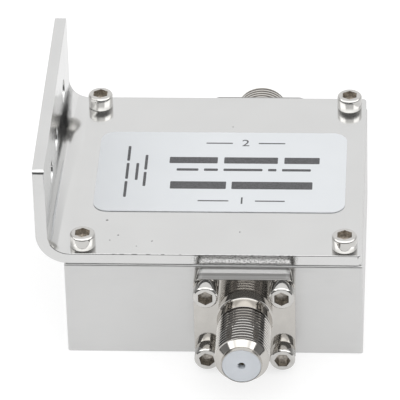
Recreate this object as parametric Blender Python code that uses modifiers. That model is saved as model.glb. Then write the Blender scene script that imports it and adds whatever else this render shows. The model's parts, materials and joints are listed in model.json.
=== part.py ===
# Coax lightning arrestor: a milled box under an angled lid, with a threaded coax port at each end.
# The origin is the middle of the box's underside. The surge port faces -Y, the equipment port +Y,
# and the lid's mounting flange stands up at -X. Lengths are in metres.
from math import cos, pi, radians, sin

import bmesh
import bpy
from mathutils import Matrix, Vector

mm = 0.001

# Fits
seat = 0.05 * mm  # between a piece and what it rests on or turns in
lid_joint = 0.1 * mm  # the thin dark line under the lid

# Milled box
box_width = 62.6 * mm
box_depth = 61.0 * mm
box_height = 22.5 * mm
end_wall = 5.0 * mm  # front and rear walls, which carry the ports
side_wall = 3.5 * mm
floor_thickness = 3.0 * mm
box_edge = 0.3 * mm
post_radius = 4.2 * mm  # round the lid screws, left standing in the corners

# Lid screws
lid_screw_inset_x = 3.85 * mm  # from the box's side walls
lid_screw_inset_y = 3.6 * mm  # from the box's end walls
lid_screw_shank = 3.0 * mm
lid_screw_length = 10.0 * mm
lid_screw_head = 5.2 * mm
lid_screw_head_height = 3.0 * mm
lid_screw_hex = 2.8 * mm
lid_screw_clearance = 0.25 * mm

# Lid and mounting flange, one folded sheet
sheet = 2.5 * mm
flange_rise = 23.3 * mm  # from the lid's underside to the flange's top edge
flange_reach = 5.7 * mm  # from the box's left wall to the flange's outer face
bend_to_screw = 0.05 * mm  # the bend ends just short of the left screws' heads
lid_reveal = 0.2 * mm  # strip of the box that shows past the lid
sheet_corner = 0.9 * mm
sheet_edge = 0.18 * mm
mounting_hole = 4.8 * mm
mounting_hole_rise = 12.7 * mm  # from the lid's underside
mounting_hole_places = (-14.8 * mm, -2.5 * mm, 16.8 * mm)  # along Y

# Label, placed by its margins on the lid
label_from_bend = 3.7 * mm
label_from_right = 3.9 * mm
label_from_front = 15.8 * mm
label_from_rear = 14.3 * mm
label_thickness = 0.15 * mm
label_corner = 3.2 * mm

# Ports, at both ends
port_x = 6.6 * mm
port_below_top = 0.2 * mm  # from the box's top down to the port's plate
port_bolt_square = 15.875 * mm
port_plate_margin = 2.71 * mm  # from a screw's axis to the plate's side
port_plate_thickness = 4.45 * mm
port_plate_corner = 1.9 * mm
port_plate_edge = 0.15 * mm
port_bolt_clearance = 0.15 * mm
neck_diameter = 11.5 * mm
neck_length = 2.9 * mm
thread_diameter = 9.525 * mm
thread_relief_depth = 0.5 * mm
thread_relief_length = 0.5 * mm

# Front barrel, with a plain nose past its thread
thread_length = 9.8 * mm
nose_step = 0.56 * mm  # from the thread's crest down to the nose
nose_length = 3.3 * mm
nose_chamfer = 0.12 * mm

# Rear barrel, threaded to its end
rear_port_shift = 0.7 * mm  # to the right of the front port
rear_thread_length = 10.6 * mm
rear_chamfer = 0.3 * mm

# Port insulators
nose_wall = 0.25 * mm  # rim round the insulator's disc
barrel_wall = 0.71 * mm  # metal between the thread's relief and the insulator
insulator_disc_thickness = 1.5 * mm
insulator_shoulder = 1.5 * mm  # depth of the ledge that stops the insulator
insulator_ledge = 0.4 * mm  # width of that ledge
insulator_hole = 1.6 * mm
insulator_mouth = 0.3 * mm

# Port contacts
contact_diameter = 2.4 * mm
contact_bore = 1.3 * mm
contact_bore_depth = 4.0 * mm
contact_flare = 0.2 * mm
contact_slot = 0.35 * mm
contact_slot_depth = 3.2 * mm
contact_pin = 1.3 * mm
contact_pin_reach = 4.0 * mm  # past the inside of the end wall

# Front port screws, with heads that stand on the plate
port_screw_shank = 3.45 * mm
port_screw_length = 8.0 * mm
port_screw_head = 5.35 * mm
port_screw_head_height = 3.5 * mm
port_screw_hex = 2.78 * mm

# Rear port screws, with flat heads sunk in the plate
rear_screw_shank = 2.5 * mm
rear_screw_length = 8.0 * mm
rear_screw_head = 4.7 * mm
rear_screw_rim = 0.2 * mm
rear_screw_hex = 1.5 * mm
rear_screw_socket = 1.0 * mm

# Socket head cap screws, on the lid and at the front port
head_chamfer = 0.09  # of the head's diameter, across
head_chamfer_drop = 0.8  # of the chamfer's width, down
socket_depth = 0.55  # of the head's height

# All socket screws
screw_tip = 0.15  # of the shank's diameter

# Circuit board
board_side_gap = 5.3 * mm  # from the box's inner side walls
board_end_gap = 1.5 * mm  # from the box's inner end walls
board_thickness = 1.6 * mm
board_corner = 1.0 * mm
board_bolt_inset = 3.7 * mm
board_hole_clearance = 0.15 * mm
pillar_diameter = 5.2 * mm

# Board screws
board_screw_shank = 2.4 * mm
board_screw_length = 6.0 * mm
board_screw_head = 4.6 * mm
board_screw_head_height = 1.6 * mm
board_screw_crown = (0.7, 0.92)  # of the head's radius and height
board_screw_shoulder = 0.55  # of the head's height
board_screw_slot = 0.6 * mm
board_screw_slot_depth = 0.8 * mm
board_screw_turn = radians(36)

# Parts on the board
tube_diameter = 8.0 * mm
tube_length = 6.2 * mm
tube_cap_length = 1.1 * mm
tube_cap_round = 0.4 * mm
tube_waist = 0.35 * mm
tube_from_port = 8.9 * mm  # to the right of the ports' axis
tube_y = -8.0 * mm
coil_diameter = 7.0 * mm
coil_wire = 0.9 * mm
coil_turns = 5.5
coil_pitch = 1.5 * mm
coil_leg = 1.2 * mm
coil_from_port = 12.1 * mm  # to the left of the ports' axis
coil_places = (-11.0 * mm, 11.0 * mm)  # along Y
capacitor_size = (5.6 * mm, 6.4 * mm, 2.6 * mm)
capacitor_edge = 0.4 * mm
capacitor_places = (-6.0 * mm, 6.0 * mm)  # along Y
diode_size = (5.9 * mm, 6.9 * mm, 2.2 * mm)
diode_edge = 0.25 * mm
diode_lift = 0.15 * mm
diode_lead = (3.0 * mm, 0.8 * mm, 1.3 * mm)
diode_lead_bite = 0.2 * mm
diode_inset = 5.5 * mm  # from the board's left edge
diode_places = (-8.0 * mm, 8.0 * mm)  # along Y

# Steps round a full turn, or along an arc
port_steps = 40
bore_steps = 32
round_steps = 24
screw_steps = 20
hole_steps = 16
bend_steps = 10
corner_steps = 5
coil_steps = 12

# Cutters
screw_overcut = 0.4 * mm  # a drilled hole runs past its screw's tip
through = 1.0 * mm  # a cutter runs past the face that it opens

# Worked out from the values above
lid_under = box_height + lid_joint
lid_top = lid_under + sheet
flange_x = -box_width / 2 - flange_reach
bend_radius = flange_reach + lid_screw_inset_x - lid_screw_head / 2 - sheet - bend_to_screw
bend_x = flange_x + sheet + bend_radius
lid_right = box_width / 2 - lid_reveal
lid_half_depth = box_depth / 2 - lid_reveal
lid_screw_x = box_width / 2 - lid_screw_inset_x
lid_screw_y = box_depth / 2 - lid_screw_inset_y
port_bolt_offset = port_bolt_square / 2
port_plate = port_bolt_square + 2 * port_plate_margin
port_z = box_height - port_below_top - port_plate / 2
thread_start = port_plate_thickness + neck_length
thread_end = thread_start + thread_length
nose_end = thread_end + nose_length
rear_end = thread_start + rear_thread_length
nose_diameter = thread_diameter - 2 * nose_step
insulator_disc = nose_diameter - 2 * (nose_wall + seat)
disc_reach = seat + insulator_disc_thickness  # from a barrel's end to the disc's underside
insulator_body = thread_diameter - 2 * (thread_relief_depth + barrel_wall + seat)
insulator_tail = insulator_body - 2 * insulator_ledge
board_width = box_width - 2 * (side_wall + board_side_gap)
board_depth = box_depth - 2 * (end_wall + board_end_gap)
board_top = port_z - contact_pin / 2 - seat
board_under = board_top - board_thickness
board_bolt_x = board_width / 2 - board_bolt_inset
board_bolt_y = board_depth / 2 - board_bolt_inset
pillar_top = board_under - seat
tube_x = port_x + tube_from_port
coil_x = port_x - coil_from_port
diode_x = diode_inset - board_width / 2

# Materials: colour, roughness, metallic
finishes = {
    "milled_aluminium": ((0.72, 0.72, 0.71), 0.38, 1.0),
    "rolled_aluminium": ((0.76, 0.76, 0.76), 0.24, 1.0),
    "nickel_plate": ((0.70, 0.67, 0.62), 0.12, 1.0),
    "stainless_screw": ((0.68, 0.67, 0.65), 0.16, 1.0),
    "white_insulator": ((0.62, 0.65, 0.68), 0.45, 0.0),
    "gilt_contact": ((0.80, 0.62, 0.30), 0.25, 1.0),
    "silver_label": ((0.72, 0.75, 0.77), 0.40, 0.0),
    "green_board": ((0.05, 0.22, 0.10), 0.45, 0.0),
    "white_ceramic": ((0.80, 0.79, 0.76), 0.50, 0.0),
    "enamelled_wire": ((0.55, 0.22, 0.08), 0.30, 1.0),
    "brown_ceramic": ((0.42, 0.30, 0.20), 0.50, 0.0),
    "black_moulding": ((0.03, 0.03, 0.03), 0.50, 0.0),
}


def clear_scene():
    for old in list(bpy.data.objects):
        bpy.data.objects.remove(old, do_unlink=True)


def new_collection(name):
    collection = bpy.data.collections.new(name)
    bpy.context.scene.collection.children.link(collection)
    return collection


def new_material(name):
    colour, roughness, metallic = finishes[name]
    material = bpy.data.materials.new(name)
    material.use_nodes = True
    shader = material.node_tree.nodes["Principled BSDF"]
    shader.inputs["Base Color"].default_value = (*colour, 1.0)
    shader.inputs["Roughness"].default_value = roughness
    shader.inputs["Metallic"].default_value = metallic
    return material


clear_scene()
arrestor = new_collection("coax_lightning_arrestor")
cutters = new_collection("cutters")
materials = {name: new_material(name) for name in finishes}


def add_piece(name, mesh, finish, place=(0, 0, 0), turn=(0, 0, 0)):
    piece = bpy.data.objects.new(name, mesh)
    arrestor.objects.link(piece)
    piece.location = place
    piece.rotation_euler = turn
    if not mesh.materials:
        mesh.materials.append(materials[finish])
    mesh.shade_smooth()
    mesh.set_sharp_from_angle(angle=radians(32))
    return piece


def add_cutter(name, mesh):
    cutter = bpy.data.objects.new(name, mesh)
    cutters.objects.link(cutter)
    cutter.hide_render = True
    cutter.display_type = "WIRE"
    return cutter


def cut(piece, cutter, operation="DIFFERENCE"):
    boolean = piece.modifiers.new(cutter.name, "BOOLEAN")
    boolean.operation = operation
    boolean.solver = "EXACT"
    boolean.object = cutter


def finished_mesh(piece, name):
    """The piece's mesh with its modifiers worked in, for pieces that are used more than once."""
    bpy.context.view_layer.update()
    graph = bpy.context.evaluated_depsgraph_get()
    mesh = bpy.data.meshes.new_from_object(piece.evaluated_get(graph))
    mesh.name = name
    bpy.data.objects.remove(piece, do_unlink=True)
    return mesh


def mesh_of(name, shape):
    mesh = bpy.data.meshes.new(name)
    shape.to_mesh(mesh)
    shape.free()
    return mesh


def add_block(shape, size, centre):
    place = Matrix.Translation(centre) @ Matrix.Diagonal((*size, 1.0))
    bmesh.ops.create_cube(shape, size=1.0, matrix=place)


def block(name, size, centre=(0, 0, 0)):
    shape = bmesh.new()
    add_block(shape, size, centre)
    return mesh_of(name, shape)


def drills(name, diameter, length, places, turn=Matrix(), steps=hole_steps):
    """Straight cylinders, each centred on its place and turned from the Z axis by turn."""
    shape = bmesh.new()
    for place in places:
        bmesh.ops.create_cone(
            shape,
            cap_ends=True,
            segments=steps,
            radius1=diameter / 2,
            radius2=diameter / 2,
            depth=length,
            matrix=Matrix.Translation(place) @ turn,
        )
    return mesh_of(name, shape)


def drill(piece, name, diameter, length, places, turn=Matrix(), steps=hole_steps):
    cut(piece, add_cutter(name, drills(name, diameter, length, places, turn, steps)))


def profile_mesh(name, points, closed):
    """Points (radius, height) at +X, running down the outer side."""
    shape = bmesh.new()
    verts = [shape.verts.new((radius, 0, height)) for radius, height in points]
    for start, end in zip(verts, verts[1:]):
        shape.edges.new((start, end))
    if closed:
        shape.edges.new((verts[-1], verts[0]))
    return mesh_of(name, shape)


def spin(piece, steps):
    screw = piece.modifiers.new("turned", "SCREW")
    screw.angle = 2 * pi
    screw.steps = steps
    screw.render_steps = steps
    screw.use_merge_vertices = True
    screw.merge_threshold = 0.001 * mm


def round_corners(shape, verts, radius):
    bmesh.ops.bevel(
        shape,
        geom=verts,
        offset=radius,
        segments=corner_steps,
        profile=0.5,
        affect="VERTICES",
        material=-1,
    )


def rounded_plate(name, corners, radius):
    """A flat outline in XY with its four corners rounded, for Solidify to thicken."""
    shape = bmesh.new()
    verts = [shape.verts.new((x, y, 0)) for x, y in corners]
    shape.faces.new(verts)
    round_corners(shape, verts, radius)
    return mesh_of(name, shape)


def rectangle(left, right, front, rear):
    return ((left, front), (right, front), (right, rear), (left, rear))


def thicken(piece, thickness):
    """Solidify on the side that the faces point to."""
    solidify = piece.modifiers.new("sheet", "SOLIDIFY")
    solidify.thickness = thickness
    solidify.offset = 1
    solidify.use_even_offset = True


def break_edges(piece, width, steps=1):
    bevel = piece.modifiers.new("edges", "BEVEL")
    bevel.width = width
    bevel.segments = steps
    bevel.limit_method = "ANGLE"
    bevel.angle_limit = radians(40)


def four_places(x, y, z):
    return [(sx * x, sy * y, z) for sy in (-1, 1) for sx in (-1, 1)]


def end_turn(end):
    """Turns local +Z outwards at the front (-1) or the rear (1) of the box."""
    return (-end * pi / 2, 0, 0)


def axis_x(end):
    return port_x if end < 0 else port_x + rear_port_shift


def end_place(end, outwards):
    return (axis_x(end), end * (box_depth / 2 + seat + outwards), port_z)


def cavity_outline():
    """The box's hollow, seen from above, with each corner left standing as a round post."""
    half_x = box_width / 2 - side_wall
    half_y = box_depth / 2 - end_wall
    from_side = lid_screw_y - (post_radius**2 - (lid_screw_x - half_x) ** 2) ** 0.5
    from_end = lid_screw_x - (post_radius**2 - (lid_screw_y - half_y) ** 2) ** 0.5
    start = Vector((half_x - lid_screw_x, from_side - lid_screw_y)).angle_signed(Vector((1, 0)))
    stop = Vector((from_end - lid_screw_x, half_y - lid_screw_y)).angle_signed(Vector((1, 0)))
    start, stop = start % (2 * pi), stop % (2 * pi)
    quarter = []
    for step in range(corner_steps + 1):
        angle = start + (stop - start) * step / corner_steps
        quarter.append((lid_screw_x + post_radius * cos(angle), lid_screw_y + post_radius * sin(angle)))
    outline = list(quarter)
    outline += [(-x, y) for x, y in reversed(quarter)]
    outline += [(-x, -y) for x, y in quarter]
    outline += [(x, -y) for x, y in reversed(quarter)]
    return outline


def cavity_mesh():
    shape = bmesh.new()
    floor = shape.faces.new([shape.verts.new((x, y, floor_thickness)) for x, y in cavity_outline()])
    raised = bmesh.ops.extrude_face_region(shape, geom=[floor])
    moved = [item for item in raised["geom"] if isinstance(item, bmesh.types.BMVert)]
    bmesh.ops.translate(shape, verts=moved, vec=(0, 0, box_height - floor_thickness + through))
    bmesh.ops.recalc_face_normals(shape, faces=shape.faces[:])
    return mesh_of("cavity", shape)


def make_housing():
    size = (box_width, box_depth, box_height)
    housing = add_piece("housing", block("housing", size, (0, 0, box_height / 2)), "milled_aluminium")
    break_edges(housing, box_edge, 2)
    cut(housing, add_cutter("cavity", cavity_mesh()))

    # pillars for the board, rooted in the floor
    root = floor_thickness / 2
    places = four_places(board_bolt_x, board_bolt_y, (pillar_top + root) / 2)
    pillars = drills("pillars", pillar_diameter, pillar_top - root, places)
    cut(housing, add_cutter("pillars", pillars), "UNION")
    depth = board_screw_length - board_thickness - seat + screw_overcut
    places = four_places(board_bolt_x, board_bolt_y, pillar_top - depth / 2 + through / 2)
    drill(housing, "pillar_holes", board_screw_shank + 2 * seat, depth + through, places)

    # lid screws
    depth = lid_screw_length - sheet - lid_joint + screw_overcut
    places = four_places(lid_screw_x, lid_screw_y, box_height - depth / 2 + through / 2)
    drill(housing, "lid_holes", lid_screw_shank + 2 * seat, depth + through, places)

    # a way through each end wall for the port, and its four screws' blind holes
    lying = Matrix.Rotation(pi / 2, 4, "X")
    for end, side, shank, screw_length in (
        (-1, "front", port_screw_shank, port_screw_length),
        (1, "rear", rear_screw_shank, rear_screw_length),
    ):
        places = [(axis_x(end), end * (box_depth / 2 - end_wall / 2), port_z)]
        length = end_wall + 2 * through
        drill(housing, side + "_port_way", insulator_tail + 2 * seat, length, places, lying, round_steps)
        depth = screw_length - port_plate_thickness - seat + screw_overcut
        y = end * (box_depth / 2 - depth / 2 + through / 2)
        places = [
            (axis_x(end) + across, y, port_z + up)
            for across, up, _ in four_places(port_bolt_offset, port_bolt_offset, 0)
        ]
        drill(housing, side + "_port_holes", shank + 2 * seat, depth + through, places, lying)


def bracket_path():
    """The sheet's outer side in XZ, from the flange's top edge round the bend to the lid's right edge."""
    outer = bend_radius + sheet
    path = [(flange_x, lid_under + flange_rise)]
    for step in range(bend_steps + 1):
        angle = pi + pi / 2 * step / bend_steps
        path.append((flange_x + outer + outer * cos(angle), lid_under + outer + outer * sin(angle)))
    path.append((lid_right, lid_under))
    return path


def make_lid_bracket():
    shape = bmesh.new()
    rows = []
    for x, z in bracket_path():
        rows.append([shape.verts.new((x, y, z)) for y in (-lid_half_depth, lid_half_depth)])
    for (a, b), (c, d) in zip(rows, rows[1:]):
        shape.faces.new((a, c, d, b))
    round_corners(shape, rows[0] + rows[-1], sheet_corner)
    bracket = add_piece("lid_bracket", mesh_of("lid_bracket", shape), "rolled_aluminium")
    thicken(bracket, sheet)
    break_edges(bracket, sheet_edge)
    length = sheet + 2 * through
    places = four_places(lid_screw_x, lid_screw_y, lid_under + sheet / 2)
    drill(bracket, "lid_clearance", lid_screw_shank + 2 * lid_screw_clearance, length, places)
    places = [(flange_x + sheet / 2, y, lid_under + mounting_hole_rise) for y in mounting_hole_places]
    lying = Matrix.Rotation(pi / 2, 4, "Y")
    drill(bracket, "mounting_holes", mounting_hole, length, places, lying, round_steps)


def make_label():
    outline = rectangle(
        bend_x + label_from_bend,
        lid_right - label_from_right,
        label_from_front - lid_half_depth,
        lid_half_depth - label_from_rear,
    )
    label = add_piece("label", rounded_plate("label", outline, label_corner), "silver_label")
    label.location = (0, 0, lid_top + seat)
    thicken(label, label_thickness)


def shank_points(shank, length):
    """A screw's plain shank below height 0, with a chamfered tip."""
    tip = screw_tip * shank
    return [(shank / 2, tip - length), (shank / 2 - tip, -length), (0, -length)]


def cap_screw_points(shank, length, head, head_height):
    """A socket head cap screw's outline, with its seat at height 0 and its head above it."""
    chamfer = head_chamfer * head
    return [
        (0, head_height),
        (head / 2 - chamfer, head_height),
        (head / 2, head_height - chamfer * head_chamfer_drop),
        (head / 2, 0),
        (shank / 2, 0),
        *shank_points(shank, length),
    ]


def flat_screw_points():
    """A rear port screw's outline, with its flat top at height 0 and a right-angled cone below."""
    head, shank = rear_screw_head / 2, rear_screw_shank / 2
    return [
        (0, 0),
        (head, 0),
        (head, -rear_screw_rim),
        (shank, shank - head - rear_screw_rim),
        *shank_points(rear_screw_shank, rear_screw_length),
    ]


def socket_screw_mesh(name, points, hexagon, depth):
    """A turned screw with a hexagonal socket in its top, where the points start."""
    screw = add_piece(name, profile_mesh(name, points, False), "stainless_screw")
    spin(screw, screw_steps)
    centre = (0, 0, points[0][1] - depth / 2 + through / 2)
    across_corners = hexagon / cos(pi / 6)
    socket = drills("socket", across_corners, depth + through, [centre], steps=6)
    socket = add_cutter("socket", socket)
    cut(screw, socket)
    mesh = finished_mesh(screw, name)
    bpy.data.objects.remove(socket, do_unlink=True)
    return mesh


def make_lid_screws():
    points = cap_screw_points(lid_screw_shank, lid_screw_length, lid_screw_head, lid_screw_head_height)
    depth = lid_screw_head_height * socket_depth
    mesh = socket_screw_mesh("lid_screw", points, lid_screw_hex, depth)
    for end, near in ((-1, "front"), (1, "rear")):
        for side, hand in ((-1, "left"), (1, "right")):
            place = (side * lid_screw_x, end * lid_screw_y, lid_top + seat)
            add_piece(f"lid_screw_{near}_{hand}", mesh, "stainless_screw", place, (0, 0, pi / 6))


def barrel_root():
    """From the thread's inner end along its relief and the neck to the middle of the plate."""
    thread = thread_diameter / 2
    neck = neck_diameter / 2
    relief = thread - thread_relief_depth
    relief_end = thread_start + thread_relief_length
    return [
        (thread, relief_end + thread_relief_depth / 2),
        (relief, relief_end),
        (relief, thread_start),
        (neck, thread_start),
        (neck, port_plate_thickness / 2),
        (0, port_plate_thickness / 2),
    ]


def front_barrel():
    """The front barrel's outline, with a plain nose past the thread."""
    nose = nose_diameter / 2
    return [
        (0, nose_end),
        (nose - nose_chamfer, nose_end),
        (nose, nose_end - nose_chamfer),
        (nose, thread_end),
        (thread_diameter / 2, thread_end - nose_step),
        *barrel_root(),
    ]


def rear_barrel():
    """The rear barrel's outline, threaded to its end."""
    crest = thread_diameter / 2
    return [
        (0, rear_end),
        (crest - rear_chamfer, rear_end),
        (crest, rear_end - rear_chamfer),
        *barrel_root(),
    ]


def bore_mesh(port_end):
    """The stepped hole that the insulator is pushed into from the barrel's end."""
    disc = insulator_disc / 2 + seat
    body = insulator_body / 2 + seat
    tail = insulator_tail / 2 + seat
    ledge = port_end - disc_reach - seat
    points = [
        (0, port_end + through),
        (disc, port_end + through),
        (disc, ledge),
        (body, ledge),
        (body, insulator_shoulder),
        (tail, insulator_shoulder),
        (tail, -through),
        (0, -through),
    ]
    bore = add_piece("bore", profile_mesh("bore", points, False), "nickel_plate")
    spin(bore, bore_steps)
    return finished_mesh(bore, "bore")


def front_plate_holes():
    """Clearance holes for the front port's screws."""
    places = four_places(port_bolt_offset, port_bolt_offset, port_plate_thickness / 2)
    hole = port_screw_shank + 2 * port_bolt_clearance
    return drills("plate_holes", hole, port_plate_thickness + 2 * through, places)


def rear_plate_holes():
    """Clearance holes for the rear port's screws, countersunk for their heads."""
    head = rear_screw_head / 2 + seat
    hole = rear_screw_shank / 2 + port_bolt_clearance
    points = [
        (0, through),
        (head, through),
        (head, -rear_screw_rim),
        (hole, hole - head - rear_screw_rim),
        (hole, -port_plate_thickness - through),
        (0, -port_plate_thickness - through),
    ]
    sink = add_piece("sink", profile_mesh("sink", points, False), "nickel_plate")
    spin(sink, screw_steps)
    mesh = finished_mesh(sink, "sink")
    shape = bmesh.new()
    for place in four_places(port_bolt_offset, port_bolt_offset, port_plate_thickness):
        made = len(shape.verts)
        shape.from_mesh(mesh)
        shape.verts.ensure_lookup_table()
        bmesh.ops.translate(shape, verts=shape.verts[made:], vec=place)
    return mesh_of("plate_holes", shape)


def shell_mesh(name, outline, port_end, holes):
    """The port's plate and threaded barrel, in one piece: plate at height 0, barrel upwards."""
    half = port_plate / 2
    corners = rectangle(-half, half, -half, half)
    shell = add_piece(name, rounded_plate(name, corners, port_plate_corner), "nickel_plate")
    thicken(shell, port_plate_thickness)
    break_edges(shell, port_plate_edge)
    turned = add_piece("barrel", profile_mesh("barrel", outline, False), "nickel_plate")
    spin(turned, port_steps)
    barrel = add_cutter("barrel", finished_mesh(turned, "barrel"))
    cut(shell, barrel, "UNION")
    bore = add_cutter("bore", bore_mesh(port_end))
    cut(shell, bore)
    holes = add_cutter("plate_holes", holes)
    cut(shell, holes)
    mesh = finished_mesh(shell, name)
    for cutter in (barrel, bore, holes):
        bpy.data.objects.remove(cutter, do_unlink=True)
    return mesh


def insulator_mesh(name, port_end):
    """White plug in the barrel: front disc flush with its end, tail through the box's wall."""
    front = port_end - seat
    disc_under = port_end - disc_reach
    hole = insulator_hole / 2
    channel = contact_diameter / 2 + seat
    shoulder = insulator_shoulder + seat
    points = [
        (hole + insulator_mouth, front),
        (insulator_disc / 2, front),
        (insulator_disc / 2, disc_under),
        (insulator_body / 2, disc_under),
        (insulator_body / 2, shoulder),
        (insulator_tail / 2, shoulder),
        (insulator_tail / 2, -end_wall),
        (channel, -end_wall),
        (channel, disc_under),
        (hole, disc_under),
        (hole, front - insulator_mouth),
    ]
    insulator = add_piece(name, profile_mesh(name, points, True), "white_insulator")
    spin(insulator, bore_steps)
    return finished_mesh(insulator, name)


def contact_mesh(name, port_end):
    """Sprung socket behind the disc's hole, with a plain pin at its tail."""
    mouth = port_end - disc_reach - seat
    bore_end = mouth - contact_bore_depth
    outer = contact_diameter / 2
    bore = contact_bore / 2
    pin = contact_pin / 2
    tail = seat - end_wall
    tip = -end_wall - contact_pin_reach
    points = [
        (0, bore_end),
        (bore, bore_end),
        (bore, mouth - contact_flare),
        (bore + contact_flare, mouth),
        (outer, mouth),
        (outer, tail),
        (pin, tail),
        (pin, tip),
        (0, tip),
    ]
    contact = add_piece(name, profile_mesh(name, points, False), "gilt_contact")
    spin(contact, hole_steps)
    size = (contact_diameter + 2 * through, contact_slot, contact_slot_depth + through)
    centre = (0, 0, mouth - contact_slot_depth / 2 + through / 2)
    slot = add_cutter("contact_slot", block("contact_slot", size, centre))
    cut(contact, slot)
    mesh = finished_mesh(contact, name)
    bpy.data.objects.remove(slot, do_unlink=True)
    return mesh


def make_port(side, end, port_end, outline, holes, screw, screw_height):
    """One port on its end of the box, with its screws at the corners of its plate."""
    port = side + "_port_"
    turn = end_turn(end)
    for part, mesh, finish in (
        ("shell", shell_mesh(port + "shell", outline, port_end, holes), "nickel_plate"),
        ("insulator", insulator_mesh(port + "insulator", port_end), "white_insulator"),
        ("contact", contact_mesh(port + "contact", port_end), "gilt_contact"),
    ):
        add_piece(port + part, mesh, finish, end_place(end, 0), turn)
    x, y, z = end_place(end, screw_height)
    for up, level in ((-1, "lower"), (1, "upper")):
        for across, hand in ((-1, "left"), (1, "right")):
            place = (x + across * port_bolt_offset, y, z + up * port_bolt_offset)
            add_piece(f"{port}screw_{level}_{hand}", screw, "stainless_screw", place, turn)


def make_front_port():
    points = cap_screw_points(
        port_screw_shank, port_screw_length, port_screw_head, port_screw_head_height
    )
    depth = port_screw_head_height * socket_depth
    screw = socket_screw_mesh("front_port_screw", points, port_screw_hex, depth)
    height = port_plate_thickness + seat
    make_port("front", -1, nose_end, front_barrel(), front_plate_holes(), screw, height)


def make_rear_port():
    screw = socket_screw_mesh("rear_port_screw", flat_screw_points(), rear_screw_hex, rear_screw_socket)
    height = port_plate_thickness
    make_port("rear", 1, rear_end, rear_barrel(), rear_plate_holes(), screw, height)


def make_board():
    x, y = board_width / 2, board_depth / 2
    outline = rounded_plate("circuit_board", rectangle(-x, x, -y, y), board_corner)
    board = add_piece("circuit_board", outline, "green_board", (0, 0, board_under))
    thicken(board, board_thickness)
    places = four_places(board_bolt_x, board_bolt_y, board_under + board_thickness / 2)
    hole = board_screw_shank + 2 * board_hole_clearance
    drill(board, "board_holes", hole, board_thickness + 2 * through, places)


def make_board_screws():
    head = board_screw_head / 2
    shank = board_screw_shank / 2
    crown_radius, crown_height = board_screw_crown
    points = [
        (0, board_screw_head_height),
        (head * crown_radius, board_screw_head_height * crown_height),
        (head, board_screw_head_height * board_screw_shoulder),
        (head, 0),
        (shank, 0),
        (shank, -board_screw_length),
        (0, -board_screw_length),
    ]
    screw = add_piece("board_screw", profile_mesh("board_screw", points, False), "stainless_screw")
    spin(screw, hole_steps)
    size = (board_screw_head + through, board_screw_slot, board_screw_slot_depth + through)
    centre = (0, 0, board_screw_head_height - board_screw_slot_depth / 2 + through / 2)
    slot = add_cutter("screw_slot", block("screw_slot", size, centre))
    cut(screw, slot)
    mesh = finished_mesh(screw, "board_screw")
    bpy.data.objects.remove(slot, do_unlink=True)
    names = ("front_left", "front_right", "rear_left", "rear_right")
    for corner, place in zip(names, four_places(board_bolt_x, board_bolt_y, board_top + seat)):
        add_piece("board_screw_" + corner, mesh, "stainless_screw", place, (0, 0, board_screw_turn))


def make_gas_tube():
    half = tube_length / 2
    radius = tube_diameter / 2
    waist = radius - tube_waist
    inner = half - tube_cap_length
    points = [
        (0, half),
        (radius - tube_cap_round, half),
        (radius, half - tube_cap_round),
        (radius, inner),
        (waist, inner),
        (waist, -inner),
        (radius, -inner),
        (radius, tube_cap_round - half),
        (radius - tube_cap_round, -half),
        (0, -half),
    ]
    tube = add_piece("gas_tube", profile_mesh("gas_tube", points, False), "white_ceramic")
    spin(tube, round_steps)
    tube.location = (tube_x, tube_y, board_top + seat + radius)
    tube.rotation_euler = (0, pi / 2, 0)


def coil_path():
    """Wire's centre line: a leg up from the board, the turns along Y, and a leg down."""
    radius = (coil_diameter - coil_wire) / 2
    length = coil_turns * coil_pitch
    low = coil_leg + coil_wire / 2
    count = round(coil_turns * coil_steps)
    turns = []
    for step in range(count + 1):
        angle = 2 * pi * coil_turns * step / count
        along = length * step / count - length / 2
        turns.append((-radius * sin(angle - pi / 2), along, low + radius + radius * cos(angle - pi / 2)))
    start, end = turns[0], turns[-1]
    return [(start[0], start[1], 0), *turns, (end[0], end[1], 0)]


def coil_mesh():
    curve = bpy.data.curves.new("coil", "CURVE")
    curve.dimensions = "3D"
    curve.bevel_depth = coil_wire / 2
    curve.bevel_resolution = 1
    curve.use_fill_caps = True
    points = coil_path()
    spline = curve.splines.new("POLY")
    spline.points.add(len(points) - 1)
    for point, place in zip(spline.points, points):
        point.co = (*place, 1)
    wire = bpy.data.objects.new("coil", curve)
    arrestor.objects.link(wire)
    mesh = finished_mesh(wire, "choke_coil")
    shape = bmesh.new()
    shape.from_mesh(mesh)
    bmesh.ops.remove_doubles(shape, verts=shape.verts[:], dist=0.001 * mm)
    shape.to_mesh(mesh)
    shape.free()
    return mesh


def make_coils():
    mesh = coil_mesh()
    for side, y in zip(("front", "rear"), coil_places):
        add_piece("choke_coil_" + side, mesh, "enamelled_wire", (coil_x, y, board_top + seat))


def make_capacitors():
    for side, y in zip(("front", "rear"), capacitor_places):
        name = "coupling_capacitor_" + side
        mesh = block(name, capacitor_size, (0, 0, capacitor_size[2] / 2))
        capacitor = add_piece(name, mesh, "brown_ceramic", (port_x, y, board_top + seat))
        break_edges(capacitor, capacitor_edge, 2)


def diode_leads_mesh(name):
    width, reach, height = diode_lead
    length = reach + diode_lead_bite
    leads = bmesh.new()
    for end in (-1, 1):
        y = end * (diode_size[1] / 2 - diode_lead_bite + length / 2)
        add_block(leads, (width, length, height), (0, y, height / 2))
    return mesh_of(name, leads)


def make_diodes():
    for side, y in zip(("front", "rear"), diode_places):
        name = "surge_diode_" + side
        mesh = block(name, diode_size, (0, 0, diode_lift + diode_size[2] / 2))
        diode = add_piece(name, mesh, "black_moulding", (diode_x, y, board_top + seat))
        break_edges(diode, diode_edge)
        leads = add_cutter(name + "_leads", diode_leads_mesh(name + "_leads"))
        leads.location = diode.location
        cut(diode, leads, "UNION")


make_housing()
make_lid_bracket()
make_label()
make_lid_screws()
make_front_port()
make_rear_port()
make_board()
make_board_screws()
make_gas_tube()
make_coils()
make_capacitors()
make_diodes()
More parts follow.
